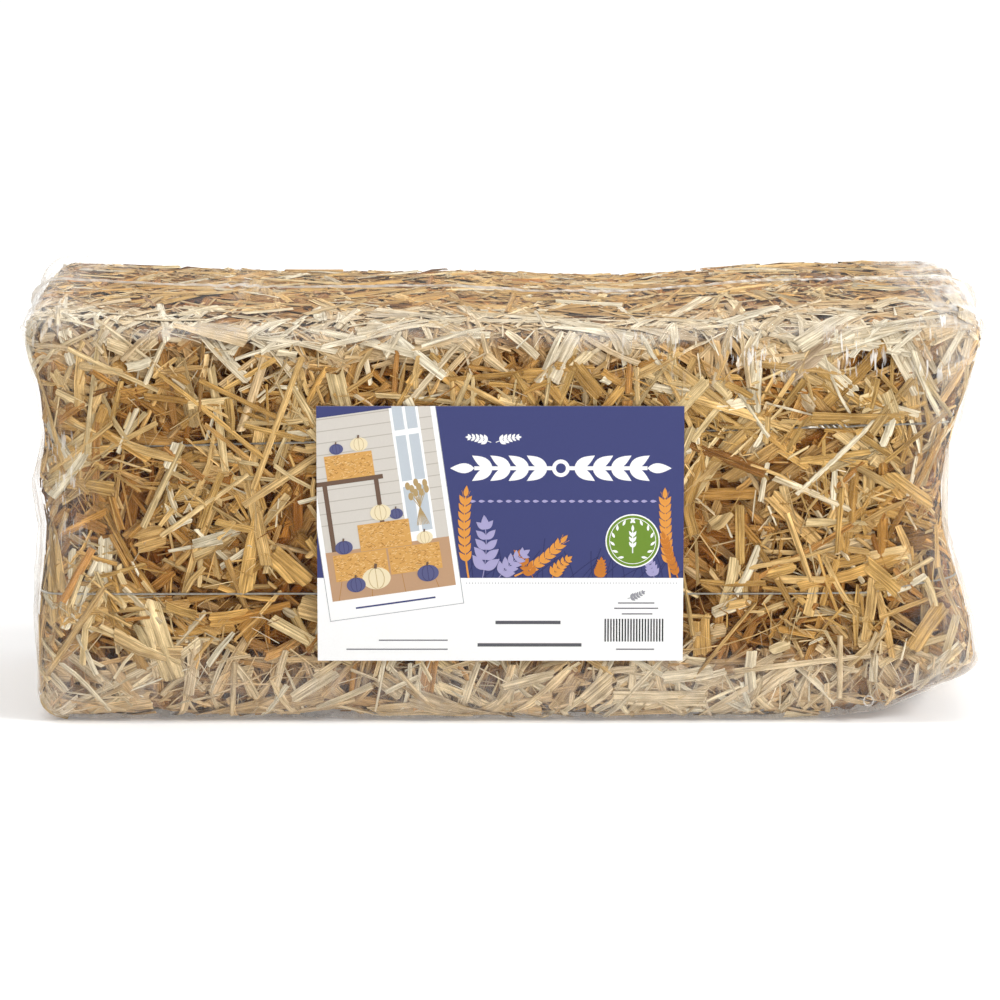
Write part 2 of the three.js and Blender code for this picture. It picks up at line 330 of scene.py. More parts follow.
def strawMaterial():
    material, tree = newMaterial("dry straw")
    grain = attributeOf(tree, "strawGrain", "Vector")
    fibres = noiseAt(tree, stretched(tree, grain, (1.4, 0.05, 1.0)), 1.0, 4.0, 0.65)
    grooves = noiseAt(tree, stretched(tree, grain, (0.95, 0.022, 1.0)), 1.0, 2.0)
    stains = noiseAt(tree, stretched(tree, grain, (0.22, 0.10, 1.0)), 1.0, 3.0)
    shade = ranged(tree, fibres, 0.3, 0.7, 0.45, 1.30)
    shade = maths(tree, "MULTIPLY", shade, ranged(tree, grooves, 0.36, 0.56, 0.78, 1.06))
    shade = maths(tree, "MULTIPLY", shade, ranged(tree, stains, 0.35, 0.7, 0.80, 1.10))
    warmth = mixed(tree, shade, (1.0, 0.84, 0.62, 1), (1, 1, 1, 1))
    colour = addNode(tree, "VectorMath", {"operation": "SCALE"}, Scale=shade,
                     at0=attributeOf(tree, "strawTone", "Color"))
    colour = addNode(tree, "VectorMath", {"operation": "MULTIPLY"}, at0=colour.outputs[0], at1=warmth)
    setSurface(tree, "BsdfPrincipled", Base_Color=colour.outputs[0], Specular_IOR_Level=0.08,
               Roughness=ranged(tree, fibres, 0.3, 0.7, 0.58, 0.36),
               Normal=bumpOf(tree, maths(tree, "ADD", fibres, grooves), 0.7, 0.4 * mm))
    return material


def regionOf(normals):
    region = np.full(len(normals), "ends", dtype=object)
    y, z = normals[:, 1], normals[:, 2]
    sideways = np.abs(normals[:, 0]) < 0.7
    region[sideways & (y < 0)] = "front"
    region[sideways & (y >= 0)] = "back"
    region[sideways & (z > 0.7)] = "top"
    region[sideways & (z < -0.7)] = "bottom"
    return region


def startPlaces(points, quads, normals):
    # scatters starting points evenly over the guide, thinner where the label covers it
    corners = points[quads]
    across = np.cross(corners[:, 2] - corners[:, 0], corners[:, 3] - corners[:, 1])
    size = np.linalg.norm(across, axis=1) / 2
    region = regionOf(normals[quads[:, 0]])
    weight = size * np.array([straw["regionShare"][name] for name in region])
    middle = corners.mean(axis=1)
    inset = straw["underLabel"]["inset"]
    covered = (middle[:, 0] > labelLow[0] + inset) & (middle[:, 0] < labelHigh[0] - inset)
    covered &= (middle[:, 2] > labelLow[2] + inset) & (middle[:, 2] < labelHigh[2] - inset)
    covered &= region == "front"
    weight[covered] *= straw["underLabel"]["share"]
    total = int(weight.sum() * straw["perSquareMetre"])
    chosen = draw.choice(len(quads), total, p=weight / weight.sum())
    s, t = draw.random((2, total, 1))
    c = corners[chosen]
    place = (1 - s) * (1 - t) * c[:, 0] + s * (1 - t) * c[:, 1] + s * t * c[:, 2] + (1 - s) * t * c[:, 3]
    return place, region[chosen]


def pickAngles(starts):
    # some straws lie alongside their neighbours, and the others lie anyhow
    bundle = straw["bundle"]
    shared = makeRipple(bundle["size"])(starts) * bundle["turn"]
    shared += draw.normal(0, bundle["spread"], len(starts))
    loose = draw.uniform(0, 2 * math.pi, len(starts))
    return np.where(draw.random(len(starts)) < bundle["share"], shared, loose)


def laySpines(guideTree, starts, angles, lengths, rings, bow):
    # walks over the guide from each start at its own heading, one ring at a time
    count = len(starts)
    spine, normal = np.zeros((2, count, rings, 3))
    turns = draw.normal(0, bow, count)
    for i in range(count):
        place, up, _, _ = guideTree.find_nearest(Vector(starts[i]))
        side = up.orthogonal().normalized()
        heading = side * math.cos(angles[i]) + up.cross(side) * math.sin(angles[i])
        step = lengths[i] / (rings - 1)
        place, up, _, _ = guideTree.find_nearest(place - heading * lengths[i] / 2)
        for ring in range(rings):
            if ring:
                place, up, _, _ = guideTree.find_nearest(place + heading * step)
                heading += up.cross(heading) * turns[i]
            heading = (heading - up * heading.dot(up)).normalized()
            spine[i, ring] = place
            normal[i, ring] = up
    return spine, normal


def pickTones(count):
    colours = np.array([linear(colour) for colour, _ in straw["tones"]])
    shares = np.array([share for _, share in straw["tones"]])
    tones = colours[draw.choice(len(colours), count, p=shares / shares.sum())]
    tones = tones * np.exp(draw.normal(*straw["toneSpread"], (count, 1)))
    return tones / np.maximum(tones.max(axis=1, keepdims=True) / straw["brightest"], 1)


def paintedLightShare(places):
    # painted light: straws are palest along the upper front edge, a painted highlight, and a little paler
    # near the foot, a painted reflection of the floor
    pale = straw["pale"]
    edge = eased(places[..., 2], *pale["edgeHeight"]) * (1 - eased(places[..., 1], *pale["edgeDepth"]))
    foot = (1 - eased(places[..., 2], *pale["footHeight"])) * eased(-places[..., 1], *pale["footDepth"])
    patchy = 0.5 + 0.5 * eased(paintedLightRipple(places), -0.8, 0.8)
    return patchy * (pale["edge"] * edge + pale["foot"] * foot)


def pickDepths(count):
    shares = np.array([layer[0] for layer in straw["layers"]])
    layer = draw.choice(len(shares), count, p=shares / shares.sum())
    low = np.array([layer[1] for layer in straw["layers"]])[layer]
    high = np.array([layer[2] for layer in straw["layers"]])[layer]
    return draw.uniform(low, high) * mm


def hollowDepth(points):
    return straw["hollow"]["depth"] * eased(hollowRipple(points), *straw["hollow"]["rise"])


def crossesWire(spine, nodeName):
    slope, height = wireLines[nodeName]
    gap = spine[:, :, 2] - (slope * spine[:, :, 0] + height)
    return (np.abs(gap[:, :-1]) < wires["near"]) | (gap[:, :-1] * gap[:, 1:] < 0)


def coverWires(spine, depth):
    # most straws that cross a wire lie over it, and behind it where a stretch of it shows
    for nodeName in wireLines:
        over = crossesWire(spine, nodeName).any(axis=1) & (draw.random(len(depth)) < wires["overShare"])
        lifted = over & (depth < wires["shallow"])
        depth[lifted] = draw.uniform(*wires["over"], int(lifted.sum()))
    for show in wires["shows"]:
        near = crossesWire(spine, show["node"])
        x = spine[:, :-1, 0]
        near &= (x > show["from"]) & (x < show["to"]) & (spine[:, :-1, 1] < 0)
        behind = near.any(axis=1) & (draw.random(len(depth)) > show["covered"])
        depth[behind] = np.maximum(depth[behind], wires["behind"])
    return depth


def ribbonPlan(rings, around):
    # faces of one closed ribbon, and where they go in its cell of the texture map
    quads, quadPlaces = [], []
    for ring in range(rings - 1):
        for k in range(around):
            following = (k + 1) % around
            quads.append([ring * around + k, ring * around + following,
                          (ring + 1) * around + following, (ring + 1) * around + k])
            left, right = 0.93 * k / around, 0.93 * (k + 1) / around
            low, high = ring / (rings - 1), (ring + 1) / (rings - 1)
            quadPlaces.append([(left, low), (right, low), (right, high), (left, high)])
    last = (rings - 1) * around
    caps = [list(range(around))[::-1], [last + k for k in range(around)]]
    turn = np.arange(around) / around * 2 * math.pi
    ringPlaces = np.stack([0.965 + 0.03 * np.cos(turn), 0.22 * np.sin(turn)], axis=1)
    capPlaces = [(ringPlaces + [0, 0.25])[::-1], ringPlaces + [0, 0.75]]
    return np.array(quads), np.array(caps), np.array(quadPlaces), np.array(capPlaces)


def layStraws(kindName, guideTree, starts, angles, regions):
    # straws that lie flat and straws that bend over an edge, as two batches
    kind, count = straw["kinds"][kindName], len(starts)
    lengths = np.exp(draw.normal(math.log(kind["length"][0]), kind["length"][1], count)) * mm
    lengths = np.clip(lengths, straw["shortest"], straw["longest"])
    spine, up = laySpines(guideTree, starts, angles, lengths, straw["walkRings"], kind["bow"])
    flat = (up * up[:, 3:4]).sum(axis=-1).min(axis=1) > straw["bend"]
    for chosen, rings in zip((flat, ~flat), kind["rings"]):
        step = (straw["walkRings"] - 1) // (rings - 1)
        yield shapeStraws(kindName, spine[chosen, ::step], up[chosen, ::step], lengths[chosen],
                          regions[chosen])


def shapeStraws(kindName, spine, up, lengths, regions):
    kind, sides, loose = straw["kinds"][kindName], np.array(straw["sides"][kindName]), straw["loose"]
    (count, rings), around = spine.shape[:2], len(sides)
    width = np.exp(draw.normal(math.log(kind["width"][0]), kind["width"][1], count)) * mm
    tangent = unit(np.gradient(spine, axis=1))
    up = unit(up - tangent * (up * tangent).sum(axis=-1, keepdims=True))
    side = np.cross(tangent, up)
    share = np.linspace(0, 1, rings)[None, :, None]

    flatter = 1 - straw["pressed"] * eased(up[:, :, 2].mean(axis=1), 0.5, 0.95)[:, None, None]
    roll = draw.normal(0, kind["roll"], (count, 1, 1))
    roll = (roll + draw.normal(0, loose["twist"], (count, 1, 1)) * (share - 0.5)) * flatter
    tiltedSide = np.cos(roll) * side + np.sin(roll) * up
    tiltedUp = np.cos(roll) * up - np.sin(roll) * side
    hollow = hollowDepth(spine) * (draw.random((count, 1)) > straw["hollow"]["bridged"])
    hollow = 0.5 * hollow + 0.5 * hollow.mean(axis=1, keepdims=True)
    depth = coverWires(spine, pickDepths(count))
    dive = draw.normal(0, loose["dive"], (count, 1, 1)) * mm * (share - 0.5)
    sag = draw.uniform(*loose["sag"], (count, 1, 1)) * mm * (4 * share * (1 - share))
    under = depth[:, None, None] + dive + sag
    least = np.abs(np.sin(roll)) * width[:, None, None] / 2 - loose["proud"] * mm
    centre = spine - up * (np.maximum(under, least) + hollow[:, :, None]) * flatter

    ringWidth = width[:, None] * np.exp(draw.normal(0, loose["ringWidth"], (count, rings)))
    ringWidth[:, 0] *= draw.uniform(kind["taper"], loose["widest"], count)
    ringWidth[:, -1] *= draw.uniform(kind["taper"], loose["widest"], count)
    crown = draw.uniform(*kind["crown"], (count, 1, 1)) * ringWidth[:, :, None]
    thickness = draw.uniform(*kind["thickness"], (count, 1, 1)) * mm
    across = ringWidth[:, :, None] * sides[:, 0]
    ridge = kind["ridge"] * width[:, None, None] * sides[:, 2]
    ridge = ridge * draw.uniform(*loose["ridge"], (count, 1, around))
    lift = crown * (1 - 4 * sides[:, 0] ** 2) - thickness * sides[:, 1] + ridge
    slant = draw.normal(0, kind["slant"], (count, 2, 1)) * sides[:, 0]
    slant = (slant + draw.normal(0, kind["fray"], (count, 2, around))) * width[:, None, None]
    points = centre[:, :, None] + tiltedSide[:, :, None] * across[..., None]
    points += tiltedUp[:, :, None] * lift[..., None]
    for ring, ends in ((0, slant[:, 0]), (-1, slant[:, 1])):
        points[:, ring] += tangent[:, ring, None] * ends[..., None]

    seeds = draw.uniform(0, 400, (count, 1, 1))  # so that no two straws share their grain
    along = (lengths[:, None] * np.linspace(0, 1, rings) / mm)[:, :, None]
    grain = np.stack(np.broadcast_arrays(across / mm + seeds, along + seeds * 0.7, seeds * 3.1), axis=-1)
    # painted shade: the deeper a straw lies, the darker and warmer its colour
    shadeDepthShare = np.clip((depth + hollow.mean(axis=1)) / straw["coreDepth"], 0, 1)[:, None]
    # straws near the upper front edge and the foot are paled by painted highlight and painted floor
    # reflection
    tone, pale = pickTones(count), paintedLightShare(spine[:, rings // 2])[:, None]
    tone = (tone * (1 - pale) + straw["pale"]["tone"] * pale) * np.array(straw["depthShadeTint"]) ** shadeDepthShare
    tone = np.broadcast_to(tone[:, None, None], points.shape).copy()
    tone *= np.exp(draw.normal(0, loose["tone"], (count, rings, 1, 1)))
    return {"points": points.reshape(count, -1, 3), "tone": tone.reshape(count, -1, 3),
            "grain": grain.reshape(count, -1, 3), "region": regions, "plan": ribbonPlan(rings, around)}


def joinStraws(name, batches, chosen, material):
    # one mesh of many closed ribbons, with a cell of the texture map for each
    total = sum(int(mask.sum()) for mask in chosen)
    columns = max(int(math.ceil(math.sqrt(total * 4))), 1)
    rows = int(math.ceil(total / columns))
    points, tones, grains, faceSets, places = [], [], [], [], []
    offset, cell = 0, 0
    for batch, mask in zip(batches, chosen):
        quads, caps, quadPlaces, capPlaces = batch["plan"]
        part = batch["points"][mask]
        count, size = part.shape[:2]
        first = offset + np.arange(count)[:, None, None] * size
        index = cell + np.arange(count)
        corner = np.stack([index % columns, index // columns], axis=1)[:, None, None]
        for faces, local in ((quads, quadPlaces), (caps, capPlaces)):
            faceSets.append((faces[None] + first).reshape(-1, faces.shape[1]))
            spots = (corner + 0.06 + local[None] * 0.88) / [columns, rows]
            places.append(spots.reshape(-1, 2))
        points.append(part.reshape(-1, 3))
        tones.append(batch["tone"][mask].reshape(-1, 3))
        grains.append(batch["grain"][mask].reshape(-1, 3))
        offset += count * size
        cell += count
    piece = addMesh(name, np.concatenate(points), faceSets, material)
    addColours(piece, "strawTone", np.concatenate(tones))
    addVectors(piece, "strawGrain", np.concatenate(grains))
    layer = piece.data.uv_layers.new(name="OFBake")
    layer.data.foreach_set("uv", np.concatenate(places).astype(np.float32).ravel())
    triangles = sum(len(faces) * (faces.shape[1] - 2) for faces in faceSets)
    print(f"{name}: {total} straws, {triangles} triangles")
    return piece


def makeStraws(guide):
    points, quads, normals = guide
    guideTree = BVHTree.FromPolygons(points.tolist(), quads.tolist())
    starts, regions = startPlaces(points, quads, normals)
    angles = pickAngles(starts)
    shares = np.array([kind["share"] for kind in straw["kinds"].values()])
    kindIndex = draw.choice(len(shares), len(starts), p=shares / shares.sum())
    batches = []
    for index, kindName in enumerate(straw["kinds"]):
        mine = kindIndex == index
        batches += layStraws(kindName, guideTree, starts[mine], angles[mine], regions[mine])
    material = strawMaterial()
    pieces = []
    for region in straw["regionShare"]:
        chosen = [batch["region"] == region for batch in batches]
        pieces.append(joinStraws("straws_" + region, batches, chosen, material))
    return pieces


def makeCore(guide):
    # the packed straw behind the gaps, coloured dark as painted shade
    points, quads, normals = guide
    material, tree = newMaterial("packed straw with painted shade")
    noise = noiseAt(tree, objectPlace(tree), 420.0, 4.0)
    setSurface(tree, "BsdfDiffuse", Color=mixed(tree, noise, *straw["coreShadeColours"]),
               Normal=bumpOf(tree, noise, 0.8, 1 * mm))
    depth = straw["coreDepth"] + hollowDepth(points)
    return addMesh("straw_core", points - normals * depth[:, None], [quads], material, True)


wires = {
    "colours": [linear(colour) + [1] for colour in ("#77736B", "#C6C1B6")],
    "near": 2.2 * mm,  # a straw this close to a wire counts as crossing it
    "shallow": 3 * mm,  # only straws above this depth are lifted over a wire
    "behind": 2.9 * mm,  # depth of the straws that a bare stretch of wire lies over
    "over": (-0.6 * mm, 0.1 * mm),  # depth of the straws that lie over a wire
    "overShare": 0.75,
    "shows": [  # bare stretches on the front, and the share of crossing straws that still cover them
        {"node": "upper_tie_wire", "from": -0.190, "to": -0.124, "covered": 0.30},
        {"node": "upper_tie_wire", "from": 0.156, "to": 0.196, "covered": 0.15},
        {"node": "lower_tie_wire", "from": -0.192, "to": -0.092, "covered": 0.25},
        {"node": "lower_tie_wire", "from": 0.124, "to": 0.194, "covered": 0.35},
    ],
}


def wireLine(nodeName):
    # the straight run of a wire along the front, as slope and height
    points = np.array([v.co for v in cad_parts[nodeName].data.vertices])
    front = points[points[:, 1] < blockLow[1] + 4 * mm]
    return np.polyfit(front[:, 0], front[:, 2], 1)


def wireMaterial():
    material, tree = newMaterial("galvanised wire")
    noise = noiseAt(tree, objectPlace(tree), 700.0, 3.0)
    setSurface(tree, "BsdfPrincipled", Base_Color=mixed(tree, noise, *wires["colours"]), Metallic=1.0,
               Roughness=ranged(tree, noise, 0.0, 1.0, 0.28, 0.5))
    return material


def finishWires():
    material = wireMaterial()
    for nodeName in wireLines:
        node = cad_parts[nodeName]
        node.data.materials.clear()
        node.data.materials.append(material)
    print("wires finished")


film = {
    "spacing": 3.2 * mm,
    "lift": 0.25 * mm,
    "calm": 6 * mm,  # how far round the label the film stays smooth
    "puffs": [  # where it stands off the straw: share of the box from its middle, reach and lift
        {"at": (-1.0, 0.7, 1.0), "reach": 34 * mm, "lift": 5 * mm},
        {"at": (1.0, 0.7, 1.0), "reach": 34 * mm, "lift": 3.5 * mm},
        {"at": (-1.0, -1.0, 0.95), "reach": 26 * mm, "lift": 0.5 * mm},
        {"at": (1.0, -0.9, -0.9), "reach": 30 * mm, "lift": 1.5 * mm},
        {"at": (-1.0, -0.9, -0.1), "reach": 42 * mm, "lift": 2.5 * mm},
        {"at": (-1.0, 0.9, -0.9), "reach": 36 * mm, "lift": 4 * mm},
        {"at": (1.0, 0.9, -0.9), "reach": 36 * mm, "lift": 4 * mm},
    ],
    "gathers": [  # fans of small creases that run out from the seam, by where along it
        {"x": -0.140, "width": 24 * mm, "depth": 0.9 * mm},
        {"x": 0.055, "width": 34 * mm, "depth": 0.4 * mm},
        {"x": 0.182, "width": 30 * mm, "depth": 0.6 * mm},
    ],
    "seam": {"station": 1.5 * mm, "lowest": 26 * mm, "height": 0.7 * mm, "endHeight": 3.0 * mm,
             "thickness": 0.15 * mm, "ripple": 0.4 * mm, "rippleLength": 8 * mm, "wander": 2.2 * mm,
             "bendSteps": 14, "closest": 0.4 * mm, "root": 0.5 * mm, "rayReach": 100 * mm, "haze": 1.0},
    "vents": {"at": [(0.192, -1), (-0.190, 1)],  # along the bale, then front or back
              "height": 12.3 * mm, "radius": 2.5 * mm, "rim": 0.35 * mm, "haze": 0.3,
              "steps": 24, "sides": 6, "rayReach": 200 * mm},
    "ripples": [(22 * mm, 0.22 * mm), (9 * mm, 0.14 * mm)],  # wavelength and lift
    "folds": {"size": 9 * mm, "nearEnd": 0.12 * mm, "atEnd": 0.45 * mm},
    "edge": {"size": 7 * mm, "lift": 0.3 * mm},  # small waves along the upper edges
    "least": -0.45 * mm,  # its deepest dent below the guide
    "floor": 0.3 * mm,  # how far above the floor it ends
    "haze": {  # how milky the film is, with painted light in it too: edge and its patches are a painted highlight along the upper front edge, foot a painted reflection of the floor; the right one is added toward the right end
        "all": 0.002, "end": 0.07, "endRight": 0.03, "top": 0.006, "corner": 0.06, "cornerRight": 0.14,
        "edge": 0.10, "paintedGlintPatch": 0.16, "paintedGlintSize": 24 * mm, "foot": 0.11, "fan": 0.10, "puff": 0.16,
    },
    "ticks": {"size": 30 * mm, "under": 0.7, "left": 0.4},  # painted glints as short white ticks: the size of their patches, then how strong
}


def filmMaterial():
    material, tree = newMaterial("clear shrink film")
    place = objectPlace(tree)
    drawn = stretched(tree, attributeOf(tree, "filmFlow", "Vector"), (0.42, 0.035, 1.0))
    streaks = noiseAt(tree, drawn, 1.0, 4.0, 0.6)
    clouds = noiseAt(tree, place, 45.0, 3.0)
    crinkle = noiseAt(tree, place, 120.0, 5.0, 0.6, 0.6)
    patch = maths(tree, "MULTIPLY", ranged(tree, streaks, 0.38, 0.68, 0.5, 1.6),
                  ranged(tree, clouds, 0.35, 0.65, 0.7, 1.25))
    # the white share carries the film's haze and its painted highlights and floor reflection
    milkAndPaintedLight = maths(tree, "MULTIPLY", patch, attributeOf(tree, "filmHazeAndPaintedLight"))
    facing = addNode(tree, "LayerWeight", Blend=0.5).outputs["Facing"]  # 1 where the sheet is seen edge on
    edgeOn = maths(tree, "MULTIPLY_ADD", maths(tree, "POWER", facing, 6.0), 6.0, 1.0)
    milkAndPaintedLight = maths(tree, "MULTIPLY", milkAndPaintedLight, edgeOn, clamped=True)
    # painted glints: thin white ticks added to the film's white share
    ticks = noiseAt(tree, stretched(tree, place, (520, 90, 90)), 1.0, 2.0)
    ticks = ranged(tree, ticks, 0.56, 0.63)
    milkAndPaintedLight = maths(tree, "MULTIPLY_ADD", ticks, attributeOf(tree, "filmPaintedGlintTicks"), milkAndPaintedLight, clamped=True)
    clear = addNode(tree, "BsdfTransparent", Color=(0.985, 0.985, 0.98, 1))
    white = addNode(tree, "BsdfDiffuse", Color=(0.97, 0.94, 0.89, 1), Roughness=0.5)
    sheet = addNode(tree, "MixShader", at0=milkAndPaintedLight, at1=clear.outputs[0], at2=white.outputs[0])
    creases = bumpOf(tree, maths(tree, "MULTIPLY_ADD", streaks, 0.7, crinkle), 1.0, 0.5 * mm)
    gloss = addNode(tree, "BsdfGlossy", Color=(1, 1, 1, 1), Roughness=0.07, Normal=creases)
    mirror = addNode(tree, "Fresnel", IOR=1.62, Normal=creases).outputs[0]
    setSurface(tree, "MixShader", at0=ranged(tree, mirror, 0.045, 0.2, 0.0, 0.07), at1=sheet.outputs[0],
               at2=gloss.outputs[0])
    return material


def labelCalm(points, normals):
    # 0 on the film under the label and 1 away from it
    overX = np.abs(points[:, 0] - (labelLow[0] + labelHigh[0]) / 2) - (labelHigh[0] - labelLow[0]) / 2
    overZ = np.abs(points[:, 2] - (labelLow[2] + labelHigh[2]) / 2) - (labelHigh[2] - labelLow[2]) / 2
    away = eased(np.maximum(overX, overZ), 0, film["calm"])
    return np.where(normals[:, 1] < -0.5, away, 1)


def filmShape(points, normals):
    # how far the film stands off its guide, how milky it is with its painted highlight and floor
    # reflection, and the way its creases run
    middle, half = (filmLow + filmHigh) / 2, (filmHigh - filmLow) / 2
    folded, edged, milky = film["folds"], film["edge"], film["haze"]
    atEnd = eased(np.abs(normals[:, 0]), 0.25, 0.8)
    onTop = eased(normals[:, 2], 0.6, 0.95)
    nearEnd = eased(np.abs(points[:, 0]), half[0] - 55 * mm, half[0] - 8 * mm)
    calm = labelCalm(points, normals)
    lift = sum(height * makeRipple(size)(points) for size, height in film["ripples"])
    folds = makeRipple(folded["size"], 16, (9, 1, 9))(points)
    lift += folds * (folded["nearEnd"] * nearEnd + folded["atEnd"] * atEnd)
    edge = eased(normals[:, 2], 0.15, 0.6) * (1 - eased(normals[:, 2], 0.75, 1.0))
    lift += edged["lift"] * edge * makeRipple(edged["size"], 16, (1, 4, 4))(points)

    rightward = eased(points[:, 0], -0.1, 0.24)
    haze = milky["all"] + (milky["end"] + milky["endRight"] * rightward) * atEnd + milky["top"] * onTop
    haze += (milky["corner"] + milky["cornerRight"] * rightward) * nearEnd * (1 - atEnd)
    # painted highlight: white haze along the upper front edge, in place of the film's glints there
    paintedGlintBand = eased(normals[:, 2], 0.25, 0.55) * (1 - eased(normals[:, 2], 0.8, 0.97)) * (normals[:, 1] < 0)
    patchy = eased(makeRipple(milky["paintedGlintSize"], 14, (2, 1, 1))(points), -0.3, 1.2)
    haze += paintedGlintBand * (milky["edge"] + milky["paintedGlintPatch"] * patchy)
    # painted reflection of the floor: the film is whiter low down
    haze += milky["foot"] * (1 - eased(points[:, 2], 18 * mm, 46 * mm)) * (1 - onTop)
    for gather in film["gathers"]:
        reach = np.abs(points[:, 1]) + 6 * mm
        spread = (points[:, 0] - gather["x"]) / reach
        fan = np.cos(spread * 16) * np.exp(-np.abs(points[:, 1]) / (26 * mm))
        fan *= np.exp(-(spread * reach / gather["width"]) ** 2) * onTop
        lift += gather["depth"] * fan
        haze += milky["fan"] * np.maximum(fan, 0) * (gather["depth"] / mm)
    for puff in film["puffs"]:
        centre = middle + half * np.array(puff["at"])
        swell = np.exp(-(np.linalg.norm(points - centre, axis=1) / puff["reach"]) ** 2)
        lift += puff["lift"] * swell
        haze += milky["puff"] * swell * puff["lift"] / (6 * mm)
    lift = film["lift"] + lift * calm
    haze = haze * (0.3 + 0.7 * calm)
    around = np.where(np.abs(normals[:, 2]) > np.abs(normals[:, 1]), points[:, 1], points[:, 2])
    across = 0.35 * points[:, 0] * (1 - atEnd) + points[:, 1] * atEnd
    along = around * (1 - atEnd) + points[:, 2] * atEnd
    flow = np.stack([across, along, atEnd * 5 * mm], axis=1) / mm
    return np.maximum(lift, film["least"]), haze, flow


def paintedGlintTickShare(points, normals):
    # painted glints: short white ticks where the film is puckered, under the upper front edge and at the
    # left end
    ticks = film["ticks"]
    facing = eased(-normals[:, 1], 0.2, 0.6)
    under = eased(points[:, 2], 178 * mm, 190 * mm) * eased(points[:, 0], 10 * mm, 130 * mm)
    left = eased(-points[:, 0], 205 * mm, 228 * mm) * eased(points[:, 2], 80 * mm, 120 * mm)
    patchy = eased(makeRipple(ticks["size"])(points), -0.4, 0.9)
    return facing * patchy * (ticks["under"] * under + ticks["left"] * left)


def makeFilm(guide, material):
    points, quads, normals = guide
    lift, haze, flow = filmShape(points, normals)
    sheet = points + normals * lift[:, None]
    sheet[:, 2] = np.maximum(sheet[:, 2], film["floor"])
    piece = addMesh("film_sheet", sheet, [quads], material, True)
    addValues(piece, "filmHazeAndPaintedLight", haze)
    addValues(piece, "filmPaintedGlintTicks", paintedGlintTickShare(points, normals))
    addVectors(piece, "filmFlow", flow)
    print(f"film_sheet: {2 * len(quads)} triangles")
    return piece, BVHTree.FromPolygons(sheet.tolist(), quads.tolist())


def seamWay():
    # from low on the left end, over the top and down the right end: places inside the bale and ways out
    seam, radius = film["seam"], guideShape["edgeRadius"]
    x, z = filmHigh[0] - radius - 3 * mm, blockHigh[2] - radius - 8 * mm
    way = [((-x, height), math.pi) for height in np.arange(seam["lowest"], z, seam["station"])]
    way += [((-x, z), angle) for angle in np.linspace(math.pi, math.pi / 2, seam["bendSteps"])]
    way += [((along, z), math.pi / 2) for along in np.arange(-x, x, seam["station"])]
    way += [((x, z), angle) for angle in np.linspace(math.pi / 2, 0, seam["bendSteps"])]
    way += [((x, height), 0) for height in np.arange(z, seam["lowest"], -seam["station"])]
    return way


def makeSeam(filmTree, material):
    seam = film["seam"]
    points, haze, flow = [], [], []
    travelled, last = 0, None
    for (x, z), angle in seamWay():
        out = Vector((math.cos(angle), 0, math.sin(angle)))
        y = seam["wander"] * math.sin(x * 32 + z * 21)
        hit = filmTree.ray_cast(Vector((x, y, z)), out, seam["rayReach"])[0]
        if hit is None or (last is not None and (hit - last).length < seam["closest"]):
            continue
        travelled += 0 if last is None else (hit - last).length
        last = hit
        onTop = out.z ** 2
        reach = seam["height"] * onTop + seam["endHeight"] * (1 - onTop)
        reach *= 1 + 0.25 * math.sin(travelled * 90) + 0.9 * (4 * onTop * (1 - onTop))
        swing = seam["ripple"] * (0.35 + 0.65 * float(eased(x, -0.05, 0.12)))
        swing *= math.sin(travelled * 2 * math.pi / seam["rippleLength"] + 1.3 * math.sin(travelled * 140))
        for height, side in ((-seam["root"], -1), (-seam["root"], 1), (reach, 1), (reach, -1)):
            tip = swing if height > 0 else 0
            points.append(hit + out * height + Vector((0, tip + side * seam["thickness"] / 2, 0)))
            haze.append(seam["haze"])
            flow.append((height / mm, travelled / mm, 0))
    stations = len(points) // 4
    quads = []
    first = np.arange(stations - 1) * 4
    for k in range(4):
        one, other = first + k, first + (k + 1) % 4
        quads.append(np.stack([one, other, other + 4, one + 4], axis=1))
    last = 4 * (stations - 1)
    quads.append(np.array([[3, 2, 1, 0], [last, last + 1, last + 2, last + 3]]))
    piece = addMesh("film_seam", points, [np.concatenate(quads)], material)
    addValues(piece, "filmHazeAndPaintedLight", haze)
    addVectors(piece, "filmFlow", flow)
    return piece


def makeVentRim(filmTree, material):
    # the small melted rim round each vent hole
    vents, points, quads = film["vents"], [], []
    steps, sides = vents["steps"], vents["sides"]
    for hole, (x, face) in enumerate(vents["at"]):
        out = Vector((0, face, 0))
        for i in range(steps):
            turn = i / steps * 2 * math.pi
            spoke = Vector((math.cos(turn), 0, math.sin(turn)))
            start = Vector((x, 0, filmLow[2] + vents["height"])) + spoke * vents["radius"]
            rim = filmTree.ray_cast(start, out, vents["rayReach"])[0]
            for k in range(sides):
                bend = k / sides * 2 * math.pi
                points.append(rim + (spoke * math.cos(bend) + out * math.sin(bend)) * vents["rim"])
                here, there = (i * sides, (i + 1) % steps * sides)
                corners = (here + k, here + (k + 1) % sides, there + (k + 1) % sides, there + k)
                quads.append([hole * steps * sides + corner for corner in corners])
    piece = addMesh("film_vent_rims", points, [np.array(quads)], material, True)
    addValues(piece, "filmHazeAndPaintedLight", np.full(len(points), vents["haze"]))
    addVectors(piece, "filmFlow", np.array([tuple(p) for p in points]) / mm)
    return piece


